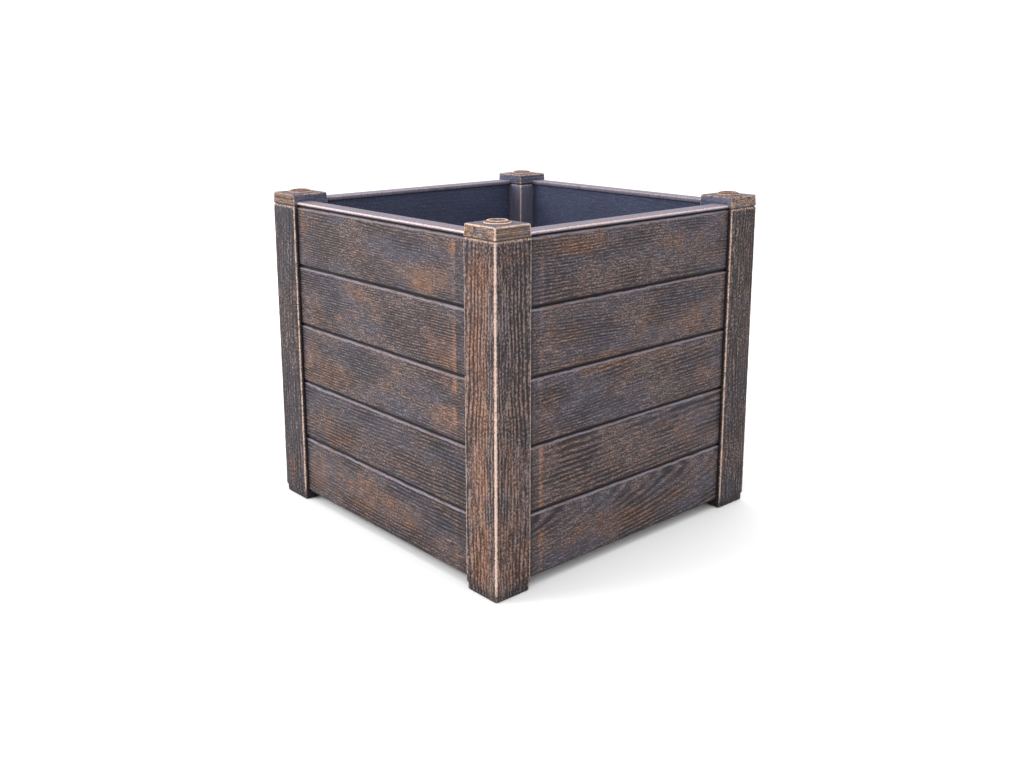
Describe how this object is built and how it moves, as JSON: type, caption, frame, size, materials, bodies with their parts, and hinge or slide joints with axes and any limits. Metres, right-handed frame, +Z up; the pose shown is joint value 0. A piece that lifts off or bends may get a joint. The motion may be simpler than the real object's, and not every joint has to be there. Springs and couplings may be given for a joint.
{
  "type": "planter box",
  "caption": "Square wooden planter box: slotted corner posts, V-jointed board walls, thin top rails, post caps with round buttons, and a slatted floor that drains.",
  "frame": {"origin": "on the ground under the middle of the box", "axes": "+Z up; +X and +Y are square to the walls, with the front wall facing -Y and the right wall facing +X"},
  "size_m": [0.6, 0.6, 0.5646],
  "materials": {
    "board_finish": "matte",
    "post_finish": "matte",
    "trim_finish": "matte",
    "button_finish": "satin",
    "floor_timber": "matte",
    "zinc_steel": "satin",
    "insert_brass": "satin"
  },
  "bodies": {
    "root": {"board_back_1": "board_finish", "board_back_2": "board_finish", "board_back_3": "board_finish", "board_back_4": "board_finish", "board_back_5": "board_finish", "board_front_1": "board_finish", "board_front_2": "board_finish", "board_front_3": "board_finish", "board_front_4": "board_finish", "board_front_5": "board_finish", "board_left_1": "board_finish", "board_left_2": "board_finish", "board_left_3": "board_finish", "board_left_4": "board_finish", "board_left_5": "board_finish", "board_right_1": "board_finish", "board_right_2": "board_finish", "board_right_3": "board_finish", "board_right_4": "board_finish", "board_right_5": "board_finish", "button_back_left": "button_finish", "button_back_right": "button_finish", "button_front_left": "button_finish", "button_front_right": "button_finish", "cap_back_left": "trim_finish", "cap_back_right": "trim_finish", "cap_bolts": "zinc_steel", "cap_front_left": "trim_finish", "cap_front_right": "trim_finish", "cap_inserts": "insert_brass", "cap_washers": "zinc_steel", "floor_bearer": "floor_timber", "floor_edge_slat_back": "floor_timber", "floor_edge_slat_front": "floor_timber", "floor_screws": "zinc_steel", "floor_slat_1": "floor_timber", "floor_slat_2": "floor_timber", "floor_slat_3": "floor_timber", "floor_slat_4": "floor_timber", "floor_slat_5": "floor_timber", "ledger_back": "floor_timber", "ledger_front": "floor_timber", "ledger_left": "floor_timber", "ledger_right": "floor_timber", "ledger_screws": "zinc_steel", "post_back_left": "post_finish", "post_back_right": "post_finish", "post_front_left": "post_finish", "post_front_right": "post_finish", "rail_back": "trim_finish", "rail_front": "trim_finish", "rail_left": "trim_finish", "rail_right": "trim_finish"}
  },
  "joints": []
}
